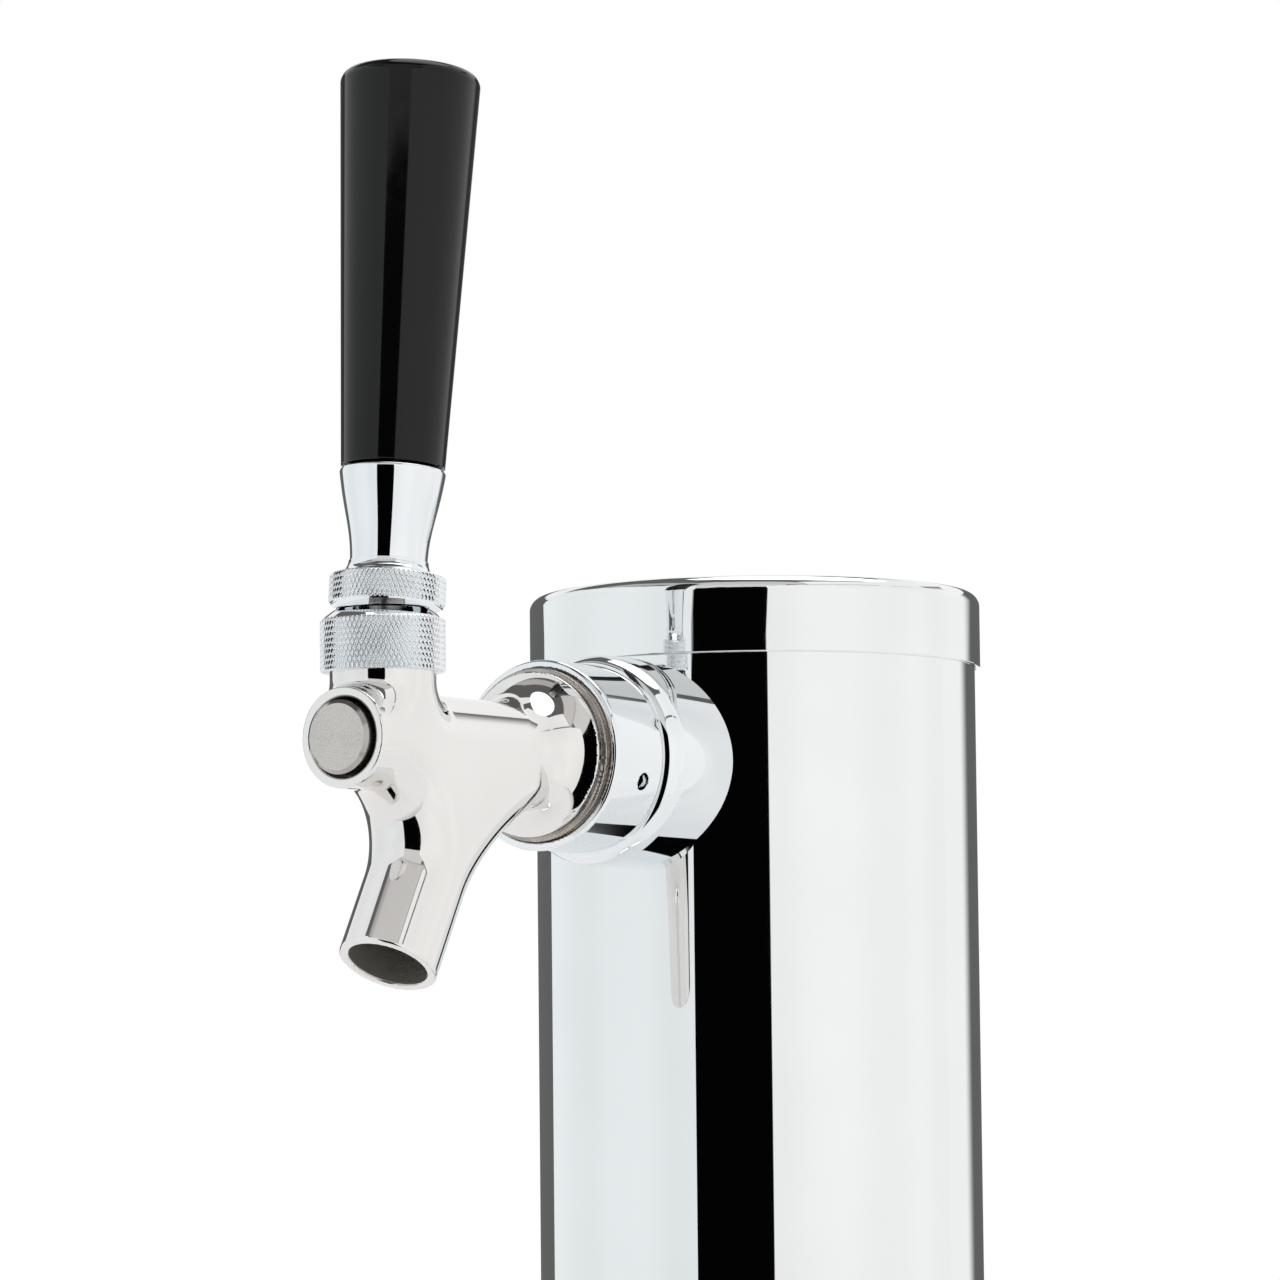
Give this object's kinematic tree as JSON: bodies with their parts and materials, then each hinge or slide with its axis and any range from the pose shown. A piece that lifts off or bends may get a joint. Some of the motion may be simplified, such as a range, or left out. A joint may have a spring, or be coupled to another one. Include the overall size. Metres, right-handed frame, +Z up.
{
  "type": "beer tap tower",
  "caption": "Column draft tower with a lift-off cap and a lever faucet: the handle pivots on a ball and slides the valve shaft.",
  "frame": {"origin": "centre of the base gasket's underside, on the column's axis", "axes": "+Z up along the column, -Y the way the faucet points, +X to the right of someone behind the faucet's handle looking at the column"},
  "size_m": [0.108, 0.1734, 0.4185],
  "materials": {
    "polished_stainless": "mirror polished stainless steel",
    "faucet_stainless": "mirror polished stainless steel",
    "satin_stainless": "satin, turned",
    "chrome": "bright chrome plate",
    "brass": "turned",
    "black_plastic": "gloss moulded",
    "white_plastic": "natural",
    "black_rubber": "matt",
    "vinyl_line": "cloudy flexible vinyl",
    "foam": "closed-cell foam"
  },
  "bodies": {
    "tower": {"base_gasket": "black_rubber", "base_flange": "polished_stainless", "column_tube": "polished_stainless", "shank": "chrome", "shank_sleeve": "chrome", "inner_saddle": "satin_stainless", "shank_lock_nut": "brass", "elbow": "satin_stainless", "elbow_seal": "black_rubber", "beer_line": "vinyl_line", "line_clamp": "satin_stainless", "line_insulation": "foam", "faucet_body": "faucet_stainless", "coupling_washer": "black_rubber", "ball_washer": "white_plastic", "friction_washer": "white_plastic", "bearing_cup": "brass", "bonnet": "chrome"},
    "cap_lid": {"cap": "polished_stainless", "cap_ring": "black_rubber"},
    "nut": {"coupling_nut": "chrome"},
    "lever": {"ball_lever": "satin_stainless", "lever_collar": "chrome", "handle_ferrule": "chrome", "knob_insert": "brass", "handle_knob": "black_plastic"},
    "valve": {"valve_shaft": "satin_stainless", "seat_washer": "black_rubber", "shaft_nut": "satin_stainless"}
  },
  "joints": [
    {"name": "lever_pull", "type": "hinge", "parent": "tower", "child": "lever", "pos_m": [0, -0.1072, 0.3179], "axis": [1, 0, 0], "range_deg": [0, 24]},
    {"name": "valve_slide", "type": "slide", "parent": "tower", "child": "valve", "axis": [0, 1, 0], "range_m": [0, 0.00375]},
    {"name": "cap_lift", "type": "slide", "parent": "tower", "child": "cap_lid", "axis": [0, 0, 1], "range_m": [0, 0.03]},
    {"name": "nut_spin", "type": "hinge", "parent": "tower", "child": "nut", "pos_m": [0, -0.058, 0.3089], "axis": [0, 1, 0], "continuous": true}
  ],
  "couplings": [
    {"joint": "valve_slide", "follows": "lever_pull", "m_per_rad": 0.0088983}
  ]
}
